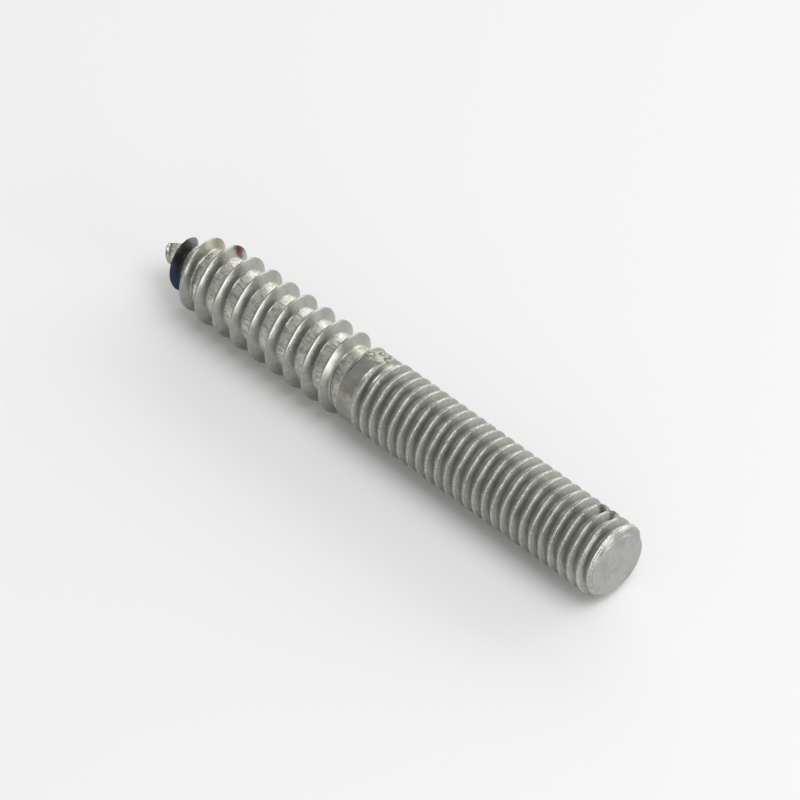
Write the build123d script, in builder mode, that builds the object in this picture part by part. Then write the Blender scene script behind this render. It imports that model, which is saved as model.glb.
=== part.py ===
"""Hanger bolt: a headless steel fastener, one piece, with a wood-screw thread and a machine-thread stud.

The axis lies along X, the gimlet point at -X and the stud's flat end at +X, and Z is up. The origin is on
the axis where the bare band meets the machine thread. All lengths are in millimetres. Both threads are
right-handed and run as flat facets around the bolt, and the bolt lies on one of them.
"""

import os
from math import ceil, cos, floor, radians, sin, tan

from build123d import *

# Wood-screw half, measured from the origin towards the point
wood_length = 28.7
wood_crest_diameter = 8.38
wood_root_diameter = 6.3
wood_pitch = 2.45
wood_crest_flat = 0.32
wood_flank_angle = 24.0
wood_crest_offset = 0.843
wood_run_out = 1.7

# Gimlet point: the crests swell from the tip as a parabola, and the root is a plain cone
point_length = 7.8
point_root_length = 6.8
point_nose = 0.6
point_tip_diameter = 0.8
point_root_tip_share = 0.7
point_taper_shares = (0.2, 0.45, 0.7, 1.0)

# Bare band between the two threads, a low step above the last of the wood thread
band_length = 1.5
band_diameter = 7.6
band_edge = 0.12
band_step = 0.2

# Machine-thread stud, measured from the origin towards the flat end
stud_length = 32.3
stud_major_diameter = 7.96
stud_pitch = 1.25
stud_flank_angle = 30.0
stud_crest_share = 1 / 8
stud_crest_offset = 0.5
stud_run_in = 1.6
stud_end_diameter = 6.72
stud_end_chamfer = 0.75

# Facets of the threads around the bolt, with their middles at the radii given here and one of them
# underneath, and how far inside its rim the blanks of the threads meet the band
facets_per_turn = 20
facet_corner_share = 1 / cos(radians(180 / facets_per_turn))
blank_inset = 0.02

wood_crest_radius = wood_crest_diameter / 2
wood_root_radius = wood_root_diameter / 2
wood_flank_slope = tan(radians(wood_flank_angle))
wood_flank_width = (wood_crest_radius - wood_root_radius) * wood_flank_slope
wood_groove_overrun = wood_crest_flat / 2

point_tip_radius = point_tip_diameter / 2
point_root_tip_radius = point_tip_radius * point_root_tip_share

band_radius = band_diameter / 2
band_end_radius = band_radius - band_edge

stud_crest_radius = stud_major_diameter / 2
stud_flank_slope = tan(radians(stud_flank_angle))
stud_groove_width = stud_pitch * (1 - stud_crest_share)
stud_root_radius = stud_crest_radius - stud_groove_width / 2 / stud_flank_slope
stud_groove_overrun = (stud_pitch - stud_groove_width) / 2


def between(low, high, share):
    """Value at a share of the way from low to high, held at the two ends."""
    return low + (high - low) * min(max(share, 0), 1)


def wood_crest_at(x):
    """Radius of the wood thread's crests, which taper to the tip."""
    to_full_height = 1 - (x + wood_length) / point_length
    return between(point_tip_radius, wood_crest_radius, 1 - min(max(to_full_height, 0), 1) ** 2)


def wood_root_at(x):
    """Radius of the wood thread's root: a cone at the point, and a rise to the low step at the band."""
    along_cone = (x + wood_length - point_nose) / (point_root_length - point_nose)
    along_rise = 1 + (x + band_length) / wood_run_out
    risen = between(wood_root_radius, band_radius - band_step, along_rise)
    return between(point_root_tip_radius, risen, along_cone)


def stud_root_at(x):
    """Radius of the machine thread's root, which sinks into the metal from the bare band on."""
    return between(stud_crest_radius, stud_root_radius, x / stud_run_in)


def corner(x, radius, turn):
    """Corner between two facets of a radius, after some turns from +Z."""
    around = radians(360 * turn)
    reach = radius * facet_corner_share
    return (x, -reach * sin(around), reach * cos(around))


def wood_groove(turn):
    """Wide flat-bottomed groove between two crests of the wood thread, as corners of its section."""
    middle = wood_crest_offset + wood_pitch * (turn + 1 / 2)
    corners = []
    for side in (-1, 1):
        edge_x = middle + side * (wood_pitch - wood_crest_flat) / 2
        crest = wood_crest_at(edge_x)
        root = wood_root_at(edge_x - side * wood_flank_width)
        top = crest + wood_groove_overrun
        corners.append(corner(edge_x + side * wood_groove_overrun * wood_flank_slope, top, turn))
        corners.append(corner(edge_x - side * (crest - root) * wood_flank_slope, root, turn))
    return corners


def stud_groove(turn):
    """Sharp V between two crests of the machine thread, as corners of its section."""
    middle = stud_crest_offset + stud_pitch * (turn + 1 / 2)
    root = stud_root_at(middle)
    top = stud_crest_radius + stud_groove_overrun
    half_width = (top - root) * stud_flank_slope
    return [
        corner(middle - half_width, top, turn),
        corner(middle, root, turn),
        corner(middle + half_width, top, turn),
    ]


def wedges(groove, from_x, to_x, crest_offset, pitch):
    """Solids to cut from a blank, one for each facet of a groove between two places on the axis."""
    first = floor((from_x - crest_offset) / pitch)
    last = ceil((to_x - crest_offset) / pitch)
    steps = range(first * facets_per_turn, last * facets_per_turn + 1)
    turns = [(step + 1 / 2) / facets_per_turn for step in steps]
    ends = zip(turns[:-1], turns[1:])
    return [ConvexPolyhedron(groove(start) + groove(end), mode=Mode.PRIVATE) for start, end in ends]


def ring(x, radius):
    """Many-sided section of a blank, with its corners where the sections of the grooves stand."""
    first_corner = 90 + 180 / facets_per_turn
    with BuildSketch(Plane.YZ.offset(x)) as section:
        RegularPolygon(radius, facets_per_turn, major_radius=False, rotation=first_corner)
    return section.sketch


with BuildPart() as wood_half:
    # Blank from the tip to the band, which it meets inside the band's edge
    tapers = [point_length * share - wood_length for share in point_taper_shares]
    rings = [ring(-wood_length, point_tip_radius)]
    rings += [ring(x, wood_crest_at(x)) for x in tapers]
    rings += [ring(-band_length - wood_run_out, wood_crest_radius)]
    rings += [ring(-band_length, (band_end_radius - blank_inset) / facet_corner_share)]
    loft(rings, ruled=True)

    # Wood thread, cut through to the band
    add(
        wedges(wood_groove, -wood_length, -band_length, wood_crest_offset, wood_pitch),
        mode=Mode.SUBTRACT,
        clean=False,
    )

with BuildPart() as stud_half:
    # Blank from the band, rising to the full thread, with the chamfered flat end
    rings = [
        ring(0, (band_radius - blank_inset) / facet_corner_share),
        ring(stud_run_in, stud_crest_radius),
        ring(stud_length - stud_end_chamfer, stud_crest_radius),
        ring(stud_length, stud_end_diameter / 2),
    ]
    loft(rings, ruled=True)

    # Machine thread, cut through the flat end
    add(
        wedges(stud_groove, 0, stud_length, stud_crest_offset, stud_pitch),
        mode=Mode.SUBTRACT,
        clean=False,
    )

with BuildPart() as hanger_bolt:
    # Bare band, round, with the edge towards the wood thread broken
    with BuildSketch(Plane.XZ):
        with BuildLine():
            Polyline(
                (-band_length, 0),
                (-band_length, band_end_radius),
                (-band_length + band_edge, band_radius),
                (0, band_radius),
                (0, 0),
                close=True,
            )
        make_face()
    revolve(axis=Axis.X)

    # The two threaded halves are of the same bar
    add([wood_half.part, stud_half.part], clean=False)

hanger_bolt.part.label = "hanger_bolt"
os.makedirs("parts", exist_ok=True)
export_step(hanger_bolt.part, "parts/hanger_bolt.step")
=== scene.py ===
"""A hanger bolt lying on a pale studio floor, seen as in the photograph."""

from math import cos, pi, radians, sin, tan

import bpy
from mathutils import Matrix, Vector


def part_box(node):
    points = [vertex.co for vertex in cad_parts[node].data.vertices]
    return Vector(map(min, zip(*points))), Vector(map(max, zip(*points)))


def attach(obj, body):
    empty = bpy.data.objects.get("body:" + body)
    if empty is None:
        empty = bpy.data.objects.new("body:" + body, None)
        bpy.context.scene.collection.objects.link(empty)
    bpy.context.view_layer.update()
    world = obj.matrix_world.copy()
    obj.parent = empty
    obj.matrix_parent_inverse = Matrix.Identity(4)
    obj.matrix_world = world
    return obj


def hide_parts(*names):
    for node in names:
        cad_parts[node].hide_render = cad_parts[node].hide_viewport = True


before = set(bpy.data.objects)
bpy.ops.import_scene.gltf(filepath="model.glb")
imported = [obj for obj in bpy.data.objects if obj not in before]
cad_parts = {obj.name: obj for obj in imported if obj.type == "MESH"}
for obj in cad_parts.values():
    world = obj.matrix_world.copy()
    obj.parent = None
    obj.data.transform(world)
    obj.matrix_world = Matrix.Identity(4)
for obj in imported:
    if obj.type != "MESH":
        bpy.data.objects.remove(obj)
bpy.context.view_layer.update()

# The hanger bolt is one bar of bare steel with no head. Dies rolled a wood thread with a gimlet point on
# one half and a metric thread on the other, and left a bare band between them. Its skin is one long strip
# that winds round the axis with the threads, so that every crest and root has its own line of edges.
mm = 0.001
low_corner, high_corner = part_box("hanger_bolt")
tip_x = low_corner[0]
end_x = high_corner[0]
drum_radius = high_corner[2]

wood_pitch = 2.45 * mm
wood_crest_x = 0.843 * mm
wood_flank_to_stud = radians(31)
wood_flank_to_point = radians(20)
band_start_x = -1.5 * mm
stud_pitch = 1.25 * mm
stud_crest_x = 0.5 * mm
stud_flank = radians(30)

bolt_sizes = {
    "Wood crest radius": drum_radius,
    "Wood root radius": 3.15 * mm,
    "Fin shoulder": 0.08 * mm,
    "Fin softness": 0.18 * mm,
    "Wood run-out": 1.7 * mm,
    "Wood step": 0.2 * mm,
    "Point length": 7.8 * mm,
    "Point root length": 6.8 * mm,
    "Point tip radius": 0.4 * mm,
    "Point nose radius": 0.2 * mm,
    "Torn length": 3.12 * mm,
    "Band radius": 3.8 * mm,
    "Band edge": 0.12 * mm,
    "Stud crest radius": 3.98 * mm,
    "Stud root radius": 3.24 * mm,
    "Stud root softness": 0.16 * mm,
    "Stud crest half width": 0.1 * mm,
    "Stud run-in": 1.3 * mm,
    "Stud end radius": 3.36 * mm,
    "Stud chamfer": 0.75 * mm,
    "Crest seam depth": 0.06 * mm,
    "Crest seam half width": 0.07 * mm,
    "Corner softness": 0.04 * mm,
    "Wood wear": 0.07 * mm,
    "Stud wear": 0.035 * mm,
    "Burr height": 1.0 * mm,
}
cone_power = 0.8
torn_gain = 5.0
burr_along = (-2.6 * mm, -1.2 * mm, 0.2 * mm, 1.0 * mm)
burr_around = (0.84, 0.9, 0.94, 0.99)
burr_level = 0.43
waves_scale = 900.0
lumps_scale = 1900.0
wear_detail = 2.0

# Turns of the strip are counted from before the tip, along the wood thread and on along the machine thread
strip_rows_a_turn = 24
strip_columns = 90
strip_gather = 0.5
snap_reach = 0.75 / strip_rows_a_turn
weld_reach = 0.0005 * mm
sharp_corner = radians(50)
nose_turn = 1.0
end_turns = 1.25
wood_turns_to_origin = 14
stud_turns_to_origin = wood_turns_to_origin + 1
tip_turn = wood_turns_to_origin + (tip_x - wood_crest_x) / wood_pitch
step_turn = wood_turns_to_origin + (band_start_x - wood_crest_x) / wood_pitch
band_turn = step_turn + 2 / strip_rows_a_turn
stud_turn = stud_turns_to_origin - stud_crest_x / stud_pitch
end_turn = stud_turn + end_x / stud_pitch
strip_rows = round((end_turn + end_turns + 1) * strip_rows_a_turn)


class Value:
    """One output in a node tree: sums on it add Math nodes, and node() adds any other kind."""

    def __init__(self, tree, socket=None):
        self.tree = tree
        self.socket = socket

    def node(self, kind, settings=None, sockets=None, output=0):
        added = self.tree.nodes.new(kind)
        for name, setting in (settings or {}).items():
            if name == "stops":
                ramp = added.color_ramp
                for stop in setting[2:]:
                    ramp.elements.new(stop[0])
                for element, (place, colour) in zip(ramp.elements, sorted(setting)):
                    element.position = place
                    element.color = colour
            else:
                setattr(added, name, setting)
        for name, value in (sockets or {}).items():
            if isinstance(value, Value):
                self.tree.links.new(value.socket, added.inputs[name])
            else:
                added.inputs[name].default_value = value
        return Value(self.tree, added.outputs[output] if added.outputs else None)

    def maths(self, operation, *values):
        return self.node("ShaderNodeMath", {"operation": operation}, dict(enumerate((self, *values))))

    def after(self, operation, value):
        """Sum in which this output comes second."""
        return self.node("ShaderNodeMath", {"operation": operation}, {0: value, 1: self})

    def between(self, low, high, start=0.0, end=1.0, ease="LINEAR"):
        """Value that goes from start to end as this one goes from low to high, and is held there."""
        places = {"Value": self, "From Min": low, "From Max": high, "To Min": start, "To Max": end}
        settings = {"interpolation_type": ease, "clamp": True}
        return self.node("ShaderNodeMapRange", settings, places, "Result")

    def soft(self, low, high):
        return self.between(low, high, 0.0, 1.0, "SMOOTHSTEP")

    def fade(self, low, high):
        return self.between(low, high, 1.0, 0.0, "SMOOTHSTEP")

    def window(self, rise, full, fade, gone):
        """Soft mask that is full between its two inner places and gone outside the outer ones."""
        return self.soft(rise, full) * self.fade(fade, gone)

    def lowest(self, other, softness=0.0):
        return self.maths("SMOOTH_MIN", other, softness)

    def highest(self, other, softness=0.0):
        return self.maths("SMOOTH_MAX", other, softness)

    def past_crest(self, crest_x, pitch, turn):
        """Distance from the nearest crest of a thread towards the stud, for a place along the axis."""
        share = (self - crest_x) / pitch - turn + 0.5
        return (share.maths("FRACT") - 0.5) * pitch

    def __add__(self, other):
        return self.maths("ADD", other)

    def __radd__(self, other):
        return self.after("ADD", other)

    def __sub__(self, other):
        return self.maths("SUBTRACT", other)

    def __rsub__(self, other):
        return self.after("SUBTRACT", other)

    def __mul__(self, other):
        return self.maths("MULTIPLY", other)

    def __rmul__(self, other):
        return self.after("MULTIPLY", other)

    def __truediv__(self, other):
        return self.maths("DIVIDE", other)

    def __rtruediv__(self, other):
        return self.after("DIVIDE", other)


bolt_tree = bpy.data.node_groups.new("Rolled bolt", "GeometryNodeTree")
for name in bolt_sizes:
    bolt_tree.interface.new_socket(name, in_out="INPUT", socket_type="NodeSocketFloat")
bolt_tree.interface.new_socket("Steel", in_out="INPUT", socket_type="NodeSocketMaterial")
bolt_tree.interface.new_socket("Bolt", in_out="OUTPUT", socket_type="NodeSocketGeometry")

forming = Value(bolt_tree)
inputs = bolt_tree.nodes.new("NodeGroupInput")
size = {name: Value(bolt_tree, inputs.outputs[name]) for name in bolt_sizes}

strip_sockets = {
    "Size X": float(strip_rows),
    "Size Y": 1.0,
    "Vertices X": strip_rows + 1,
    "Vertices Y": strip_columns + 1,
}
strip = forming.node("GeometryNodeMeshGrid", {}, strip_sockets, "Mesh")
flat_place = forming.node("GeometryNodeInputPosition")
row = forming.node("ShaderNodeSeparateXYZ", {}, {0: flat_place}, "X") + strip_rows / 2
row_turn = row / strip_rows_a_turn
turn = forming.node("ShaderNodeSeparateXYZ", {}, {0: flat_place}, "Y") + 0.5

# Rows gather at the crests, and the row nearest to an end or a step lies on it
winding = row_turn + turn - (row_turn * (2 * pi)).maths("SINE") * (strip_gather / (2 * pi))
for edge_turn in (tip_turn, step_turn, band_turn, end_turn):
    near = winding.maths("COMPARE", edge_turn, snap_reach)
    winding = winding + (edge_turn - winding) * near
x = winding.between(tip_turn, step_turn, tip_x, band_start_x)
x = x + winding.between(band_turn, stud_turn, 0.0, -band_start_x)
x = (x + winding.between(stud_turn, end_turn, 0.0, end_x)).lowest(end_x)
angle = turn * (2 * pi)
sideways_share = angle.maths("SINE") * -1.0
upwards_share = angle.maths("COSINE")


def around_axis(radius):
    """Place of each corner of the strip at a radius from the axis."""
    parts = {"X": x, "Y": sideways_share * radius, "Z": upwards_share * radius}
    return forming.node("ShaderNodeCombineXYZ", {}, parts)


on_drum = around_axis(drum_radius)


def unevenness(scale):
    sockets = {"Vector": on_drum, "Scale": scale, "Detail": wear_detail}
    return forming.node("ShaderNodeTexNoise", {}, sockets, "Fac")


waves = unevenness(waves_scale)
lumps = unevenness(lumps_scale)

# Wood thread: fins on a core that ends in a torn cone, with crests that swell from the tip
run_out = x.between(band_start_x - size["Wood run-out"], band_start_x)
from_tip = 1 - x.between(tip_x, tip_x + size["Point length"])
swell = 1 - from_tip * from_tip
wood_crest = size["Point tip radius"] + (size["Wood crest radius"] - size["Point tip radius"]) * swell
wood_crest = wood_crest + (size["Band radius"] - size["Wood crest radius"]) * run_out
wood_crest = wood_crest - size["Wood wear"] * waves
cone = x.between(tip_x, tip_x + size["Point root length"]).maths("POWER", cone_power)
wood_root = size["Point nose radius"] + (size["Wood root radius"] - size["Point nose radius"]) * cone
wood_root = wood_root + (size["Band radius"] - size["Wood step"] - size["Wood root radius"]) * run_out
torn = 1 + torn_gain * x.between(tip_x, tip_x + size["Torn length"], 1.0, 0.0)
wood_root = wood_root + size["Wood wear"] * (lumps - 0.5) * torn
past_fin = x.past_crest(wood_crest_x, wood_pitch, turn)
to_stud = wood_crest - (past_fin - size["Fin shoulder"]) / tan(wood_flank_to_stud)
to_point = wood_crest + (past_fin + size["Fin shoulder"]) / tan(wood_flank_to_point)
fin = wood_crest.lowest(to_stud, size["Fin softness"]).lowest(to_point, size["Corner softness"])
wood_radius = fin.highest(wood_root, size["Corner softness"])

# Machine thread: a V with a soft root and a seam in its crest, rising out of the bare band
run_in = x.soft(0.0, size["Stud run-in"])
broken_edge = x.between(band_start_x, band_start_x + size["Band edge"], 1.0, 0.0)
stud_crest = size["Band radius"] - size["Band edge"] * broken_edge
stud_crest = stud_crest + (size["Stud crest radius"] - size["Band radius"]) * run_in
stud_crest = stud_crest - size["Stud wear"] * lumps
stud_root = stud_crest + (size["Stud root radius"] - size["Stud crest radius"]) * run_in
from_crest = x.past_crest(stud_crest_x, stud_pitch, turn).maths("ABSOLUTE")
flank = stud_crest - (from_crest - size["Stud crest half width"]) / tan(stud_flank)
stud_radius = flank.highest(stud_root, size["Stud root softness"])
stud_radius = stud_radius.lowest(stud_crest, size["Corner softness"])
seam = from_crest.fade(0.0, size["Crest seam half width"]) * run_in
stud_radius = stud_radius - size["Crest seam depth"] * seam
chamfer_slope = (size["Stud crest radius"] - size["Stud end radius"]) / size["Stud chamfer"]
stud_radius = stud_radius.lowest(size["Stud end radius"] + (end_x - x) * chamfer_slope)

# The threads meet at the step, where a small burr stands on the band, and the strip closes at both ends
radius = wood_radius + (stud_radius - wood_radius) * winding.between(step_turn, band_turn)
burr = x.window(*burr_along) * turn.window(*burr_around) * (lumps - burr_level).highest(0.0)
radius = radius + size["Burr height"] * burr
radius = radius * winding.between(nose_turn, tip_turn)
radius = radius * winding.between(end_turn, end_turn + end_turns, 1.0, 0.0)
placing = {"Geometry": strip, "Position": around_axis(radius)}
skin = forming.node("GeometryNodeSetPosition", {}, placing)
skin = forming.node("GeometryNodeMergeByDistance", {}, {"Geometry": skin, "Distance": weld_reach})
skin = forming.node("GeometryNodeTriangulate", {"quad_method": "SHORTEST_DIAGONAL"}, {"Mesh": skin})
sharp = forming.node("GeometryNodeInputMeshEdgeAngle").maths("GREATER_THAN", sharp_corner)
shading = {"Geometry": skin, "Selection": sharp, "Shade Smooth": False}
skin = forming.node("GeometryNodeSetShadeSmooth", {"domain": "EDGE"}, shading)
skin = forming.node("GeometryNodeRealizeInstances", {}, {"Geometry": skin})
finish = {"Geometry": skin, "Material": Value(bolt_tree, inputs.outputs["Steel"])}
skin = forming.node("GeometryNodeSetMaterial", {}, finish)
bolt_tree.links.new(skin.socket, bolt_tree.nodes.new("NodeGroupOutput").inputs["Bolt"])

# The steel is bare and satin, with rough flaky roots in the wood thread, dull roots in the machine thread
# that are darkened with painted shade in patches, and thin bright lines along the crests of the machine
# thread that are partly burnished steel and partly painted highlight. A thin line of painted shade runs in
# the crease beside each fin's crest.
steel_tones = [(0.0, (0.26, 0.265, 0.23, 1)), (0.5, (0.38, 0.388, 0.348, 1)), (1.0, (0.53, 0.53, 0.485, 1))]
# painted shade for the roots of the machine thread
stud_root_shade = (0.17, 0.17, 0.14, 1)
# burnished crest steel, made paler still as a painted highlight
stud_crest_burnish_and_highlight = (0.84, 0.84, 0.79, 1)
wood_root_bright = (0.74, 0.725, 0.64, 1)
wood_root_scratch = (0.11, 0.105, 0.085, 1)
# painted shade for the crease beside each fin's crest
fin_crease_shade = (0.13, 0.13, 0.105, 1)
end_pale = (0.44, 0.44, 0.435, 1)
end_blotch = (0.31, 0.31, 0.305, 1)
satin_roughness = 0.29
relief_strength = 0.5
relief_depth = 0.03 * mm
drawn_out = (0.22, 1.0, 1.0)

# Where the parts of the surface begin and end, along the axis and then from the nearest crest
wood_fades = (band_start_x, band_start_x - 0.2 * mm)
stud_starts = (-0.2 * mm, 0.4 * mm)
stud_root_starts = (0.8 * mm, 2.5 * mm)
end_starts = (end_x - 0.04 * mm, end_x - 0.02 * mm)
wood_root_past_fin = (0.7 * mm, 0.78 * mm)
wood_root_before_fin = (-0.5 * mm, -0.4 * mm)
# span of the painted shade in the crease on the point side of each fin's crest
fin_crease_shade_span = (-0.2 * mm, -0.12 * mm, -0.04 * mm, 0.02 * mm)
stud_root_from_crest = (0.16 * mm, 0.42 * mm)
stud_crest_line = (0.02 * mm, 0.06 * mm, 0.1 * mm, 0.17 * mm)

steel = bpy.data.materials.new("rolled_steel")
steel.use_nodes = True
steel.node_tree.nodes.clear()
metal = Value(steel.node_tree)
spot = metal.node("ShaderNodeTexCoord", {}, {}, "Object")
along, sideways, upwards = (metal.node("ShaderNodeSeparateXYZ", {}, {0: spot}, axis) for axis in "XYZ")
from_axis = (sideways * sideways + upwards * upwards).maths("SQRT")
around = (sideways * -1.0).maths("ARCTAN2", upwards) / (2 * pi)
drawn = metal.node("ShaderNodeVectorMath", {"operation": "MULTIPLY"}, {0: spot, 1: drawn_out})


def noise(scale, detail=3.0, roughness=0.6, place=spot):
    sockets = {"Vector": place, "Scale": scale, "Detail": detail, "Roughness": roughness}
    return metal.node("ShaderNodeTexNoise", {}, sockets, "Fac")


def tint(under, colour, share):
    sockets = {"Factor": share, "A": under, "B": colour}
    return metal.node("ShaderNodeMix", {"data_type": "RGBA"}, sockets, "Result")


blotches = noise(scale=420.0)
mottle = noise(scale=650.0, detail=5.0)
clouds = noise(scale=900.0)
flakes = noise(scale=1600.0)
speckle = noise(scale=2400.0)
scratches = noise(scale=4200.0, detail=2.0, roughness=0.5, place=drawn)
grain = noise(scale=7000.0)

on_wood = along.between(*wood_fades)
on_end = along.between(*end_starts)
on_stud = along.between(*stud_starts) * (1 - on_end)
beyond_fin = along.past_crest(wood_crest_x, wood_pitch, around)
beside_crest = along.past_crest(stud_crest_x, stud_pitch, around).maths("ABSOLUTE")
wood_depth = beyond_fin.soft(*wood_root_past_fin) + beyond_fin.fade(*wood_root_before_fin)
wood_depth = (wood_depth * on_wood).lowest(1.0)
# painted shade in the crease on the point side of each fin's crest
fin_crease_shade_mask = beyond_fin.window(*fin_crease_shade_span) * on_wood
stud_depth = beside_crest.soft(*stud_root_from_crest) * on_stud * along.soft(*stud_root_starts)
# crest lines of the machine thread: burnished, and brightened as a painted highlight
crest_wear_and_highlight = beside_crest.window(*stud_crest_line) * on_stud
rough_place = (wood_depth + crest_wear_and_highlight + stud_depth * 0.5).lowest(1.0)

worn = (mottle - 0.5) * 0.8 + (speckle - 0.5) * 0.6 + (grain - 0.5) * (0.35 + rough_place * 0.8) + 0.5
tone = metal.node("ShaderNodeValToRGB", {"stops": steel_tones}, {"Fac": worn}, "Color")
# patches that break up the painted shade in the roots of the machine thread
root_shade_patches = scratches + grain * 0.6 - 0.3
flaking = flakes * 0.6 + scratches * 0.6 + grain * 0.4 - 0.3
for colour, mask, strength in (
    # painted shade in the roots of the machine thread, in patches
    (stud_root_shade, stud_depth * root_shade_patches.soft(0.25, 0.75), 0.3),
    (wood_root_bright, wood_depth * flaking.soft(0.3, 0.56), 0.95),
    (wood_root_scratch, wood_depth * scratches.soft(0.53, 0.62), 0.5),
    # bright crest lines: partly burnished steel, partly painted highlight
    (stud_crest_burnish_and_highlight, crest_wear_and_highlight * grain.soft(0.4, 0.6), 0.7),
    # painted shade in the crease on the point side of each fin's crest
    (fin_crease_shade, fin_crease_shade_mask * mottle.soft(0.3, 0.55), 0.75),
):
    tone = tint(tone, colour, mask * strength)

# The first fin at the point bears a black and blue scorch, and its colour changes around the axis; the pale
# grey-blue on its upper side is painted highlight.
scorch_fin = (-11.2, -11.12, -10.68, -10.58)
scorch_foot = (1.2 * mm, 1.6 * mm)
scorch_sides = (0.4, 0.47)
scorch_sweep = (-0.12, 0.32)
scorch_strength = 0.95
scorch_and_highlight_tones = [
    # pale grey-blue on the upper side: painted highlight over the scorch
    (0.0, (0.16, 0.18, 0.19, 1)),
    (0.26, (0.012, 0.015, 0.013, 1)),
    (0.48, (0.02, 0.022, 0.017, 1)),
    (0.6, (0.035, 0.022, 0.04, 1)),
    (0.74, (0.01, 0.03, 0.065, 1)),
    (1.0, (0.02, 0.05, 0.08, 1)),
]
fin_number = (along - wood_crest_x) / wood_pitch - around
scorch = fin_number.window(*scorch_fin) * from_axis.soft(*scorch_foot)
scorch = scorch * around.maths("ABSOLUTE").fade(*scorch_sides)
scorch_place = around.between(*scorch_sweep) + (clouds - 0.5) * 0.7
scorch_and_highlight = metal.node("ShaderNodeValToRGB", {"stops": scorch_and_highlight_tones}, {"Fac": scorch_place}, "Color")
tone = tint(tone, scorch_and_highlight, scorch * scorch_strength)

# Small ragged patches of stain lie near the point, on the band and near the flat end, and a wide one of
# painted shade darkens the lower side of the band. Each has its colour, its place and reach along the axis
# in millimetres, its place and reach around the axis in turns, and its strength.
stains_and_band_shade = {
    "olive on a fin": ((0.24, 0.24, 0.11, 1), -23.7, 0.9, -0.09, 0.12, 0.65),
    "maroon on a fin": ((0.10, 0.025, 0.02, 1), -21.6, 1.1, -0.12, 0.06, 1.0),
    "dark brown on the stud": ((0.06, 0.045, 0.03, 1), 28.6, 1.1, -0.115, 0.05, 1.0),
    "brown on the stud": ((0.10, 0.075, 0.05, 1), 29.9, 0.7, -0.1, 0.03, 1.0),
    "pink on the band": ((0.42, 0.36, 0.29, 1), -0.6, 0.9, 0.155, 0.06, 0.5),
    "olive on the band": ((0.26, 0.25, 0.14, 1), -0.1, 0.6, 0.12, 0.05, 0.5),
    # painted shade on the lower side of the band
    "painted shade under the band": ((0.22, 0.215, 0.19, 1), -0.6, 1.5, 0.27, 0.14, 0.6),
    "green on the burr": ((0.24, 0.25, 0.19, 1), -0.6, 1.6, -0.08, 0.09, 0.6),
}
for colour, stain_x, reach_x, stain_turn, reach_turn, strength in stains_and_band_shade.values():
    aside = (along - stain_x * mm) / (reach_x * mm)
    about = ((around - stain_turn + 0.5).maths("FRACT") - 0.5) / reach_turn
    ragged = (aside * aside + about * about).maths("SQRT")
    ragged = ragged + (mottle - 0.5) * 1.2 + (speckle - 0.5) * 0.8
    tone = tint(tone, colour, ragged.fade(0.3, 1.1) * strength)

# The flat end is paler than the threads and faintly blotched
tone = tint(tone, end_pale, on_end * 0.8)
tone = tint(tone, end_blotch, on_end * blotches.soft(0.45, 0.65) * 0.6)
roughness = satin_roughness + stud_depth * 0.14 + wood_depth * 0.12
roughness = roughness + (mottle - 0.5) * 0.25 + (grain - 0.5) * rough_place * 0.2
height = grain * (0.3 + rough_place * 1.2) + mottle * 0.8
height = height + scratches * (wood_depth * 5.0 + stud_depth * 1.2)
relief = {"Strength": relief_strength, "Distance": relief_depth, "Height": height}
relief = metal.node("ShaderNodeBump", {}, relief, "Normal")
bare_steel = {"Base Color": tone, "Metallic": 1.0, "Roughness": roughness, "Normal": relief}
surface = metal.node("ShaderNodeBsdfPrincipled", {}, bare_steel, "BSDF")
metal.node("ShaderNodeOutputMaterial", {}, {"Surface": surface})

carrier = bpy.data.objects.new("carrier", bpy.data.meshes.new("carrier"))
bpy.context.scene.collection.objects.link(carrier)
rolling = carrier.modifiers.new("Rolled bolt", "NODES")
rolling.node_group = bolt_tree
for socket in bolt_tree.interface.items_tree:
    if socket.in_out == "INPUT":
        rolling[socket.identifier] = steel if socket.name == "Steel" else bolt_sizes[socket.name]
rolled = carrier.evaluated_get(bpy.context.evaluated_depsgraph_get())
bolt = bpy.data.objects.new("bolt", bpy.data.meshes.new_from_object(rolled))
bpy.context.scene.collection.objects.link(bolt)
bpy.data.objects.remove(carrier)
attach(bolt, "root")
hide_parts("hanger_bolt")

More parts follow.
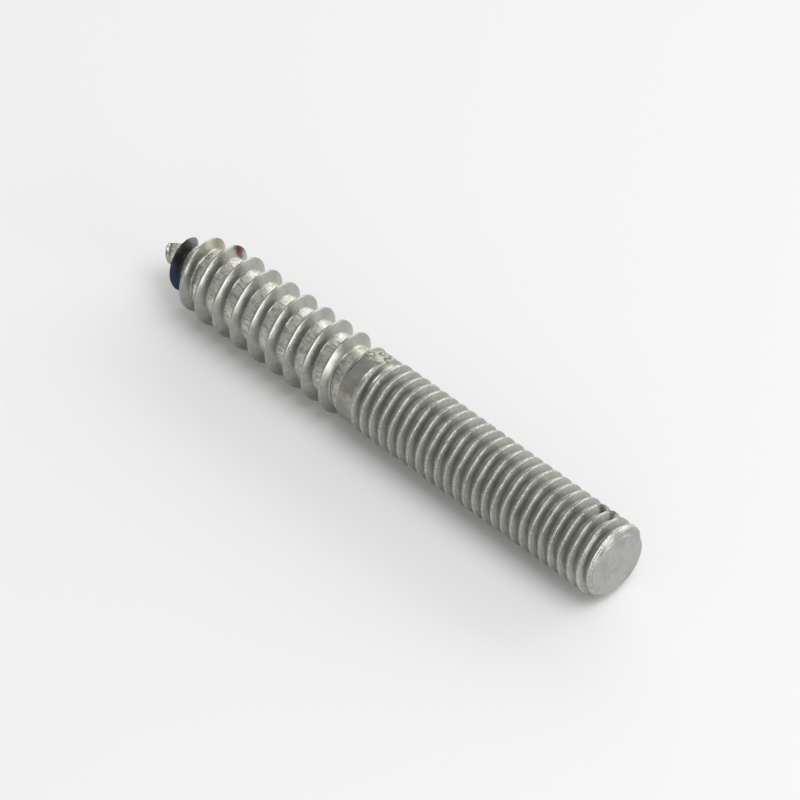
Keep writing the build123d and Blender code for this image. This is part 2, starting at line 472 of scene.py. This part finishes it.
# The floor is a wide sheet of matt white card. It lies level under the bolt, which rests on it by its
# crests with nothing to hold it.
floor_half = 1.5
floor_height = low_corner[2]
floor_corners = [
    (-floor_half, -floor_half, floor_height),
    (floor_half, -floor_half, floor_height),
    (floor_half, floor_half, floor_height),
    (-floor_half, floor_half, floor_height),
]
floor_mesh = bpy.data.meshes.new("floor")
floor_mesh.from_pydata(floor_corners, [], [(0, 1, 2, 3)])
card = bpy.data.materials.new("white_card")
card.use_nodes = True
card_surface = card.node_tree.nodes["Principled BSDF"].inputs
card_surface["Base Color"].default_value = (0.86, 0.86, 0.86, 1)
card_surface["Roughness"].default_value = 0.9
card_surface["Specular IOR Level"].default_value = 0.1
floor_mesh.materials.append(card)
floor = bpy.data.objects.new("floor", floor_mesh)
bpy.context.scene.collection.objects.link(floor)

# The light is a dim white room with four soft panels: a wide one low behind the bolt, which its upper side
# mirrors, one above its flat end, which draws the lines on the crests, a low one beyond that end for the
# flanks, and a weak one in front. All of them face the bolt.
room_strength = 0.46
room = bpy.data.worlds.new("dim_room")
bpy.context.scene.world = room
room.use_nodes = True
room_light = room.node_tree.nodes["Background"].inputs
room_light["Color"].default_value = (1, 1, 1, 1)
room_light["Strength"].default_value = room_strength
for lamp_name, lamp_place, lamp_width, lamp_height, lamp_power in (
    ("back_card", (-0.1, 0.75, 0.27), 1.9, 0.52, 5.5),
    ("top_box", (0.32, 0.05, 0.66), 0.5, 0.5, 2.5),
    ("right_card", (0.75, 0.0, 0.15), 0.5, 0.26, 1.7),
    ("front_card", (0.6, -0.64, 0.24), 0.5, 0.36, 0.7),
):
    lamp = bpy.data.lights.new(lamp_name, "AREA")
    lamp.shape = "RECTANGLE"
    lamp.size = lamp_width
    lamp.size_y = lamp_height
    lamp.energy = lamp_power
    lamp_stand = bpy.data.objects.new(lamp_name, lamp)
    lamp_stand.location = lamp_place
    lamp_stand.rotation_euler = (-Vector(lamp_place)).to_track_quat("-Z", "Y").to_euler()
    bpy.context.scene.collection.objects.link(lamp_stand)

# The camera stands far off with a long lens, above the bolt and towards its flat end, at the photograph's
# angle. It looks at a place near the middle of the bolt.
view_azimuth = radians(44.93)
view_elevation = radians(45.21)
view_distance = 672.9 * mm
view_target = Vector((2.5, 1.0, 0.0)) * mm
view_from = Vector((
    sin(view_azimuth) * cos(view_elevation),
    -cos(view_azimuth) * cos(view_elevation),
    sin(view_elevation),
))
lens = bpy.data.cameras.new("long_lens")
lens.sensor_width = 36.0
lens.lens = 315.2
camera = bpy.data.objects.new("camera", lens)
camera.location = view_target + view_from * view_distance
camera.rotation_euler = (-view_from).to_track_quat("-Z", "Y").to_euler()
bpy.context.scene.collection.objects.link(camera)
bpy.context.scene.camera = camera
bpy.context.scene.view_settings.view_transform = "Standard"
